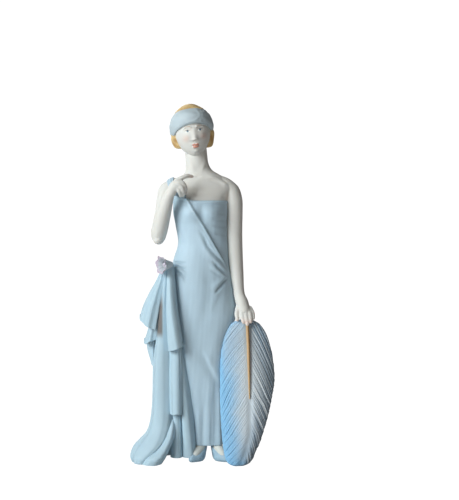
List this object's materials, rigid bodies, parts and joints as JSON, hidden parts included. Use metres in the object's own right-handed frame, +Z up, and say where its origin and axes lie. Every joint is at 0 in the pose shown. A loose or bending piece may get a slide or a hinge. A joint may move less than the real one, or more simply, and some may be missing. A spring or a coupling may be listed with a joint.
{
  "type": "porcelain figurine",
  "caption": "Standing lady in a long draped gown with a headband, one hand at her breast, the other holding a tall feather fan that rests on the floor.",
  "frame": {"origin": "centre of the bounding box's bottom face, on the surface that the figure stands on", "axes": "+Z up, -Y the way the lady faces, +X towards her left hand and the feather fan"},
  "size_m": [0.0922, 0.0536, 0.2221],
  "materials": {
    "skin": "matt unglazed bisque, cream white, face features painted",
    "gown": "matt bisque tinted pale blue-grey",
    "hair": "matt bisque painted pale gold",
    "shoe": "matt bisque tinted pale blue",
    "feather": "matt bisque shaded from white to sky blue",
    "gilt": "dull ochre gold line",
    "flower": "matt bisque, pale lilac edges over blue-grey"
  },
  "bodies": {
    "root": {"bust": "skin", "head": "skin", "right_arm": "skin", "left_arm": "skin", "right_foot": "skin", "left_foot": "skin", "gown_body": "gown", "shoulder_strap": "gown", "wrap_edge": "gown", "front_fall": "gown", "lower_tail": "gown", "train_outer": "gown", "train_under": "gown", "inner_fold_left": "gown", "inner_fold_right": "gown", "flare_upper": "gown", "flare_lower": "gown", "flare_end": "gown", "back_fall": "gown", "headband": "gown", "headband_knot": "gown", "hair": "hair", "right_shoe": "shoe", "left_shoe": "shoe", "feather_fan": "feather", "feather_quill": "gilt", "flower_bud": "flower", "flower_petal_1": "flower", "flower_petal_2": "flower", "flower_petal_3": "flower", "flower_petal_4": "flower", "flower_petal_5": "flower"}
  },
  "joints": []
}
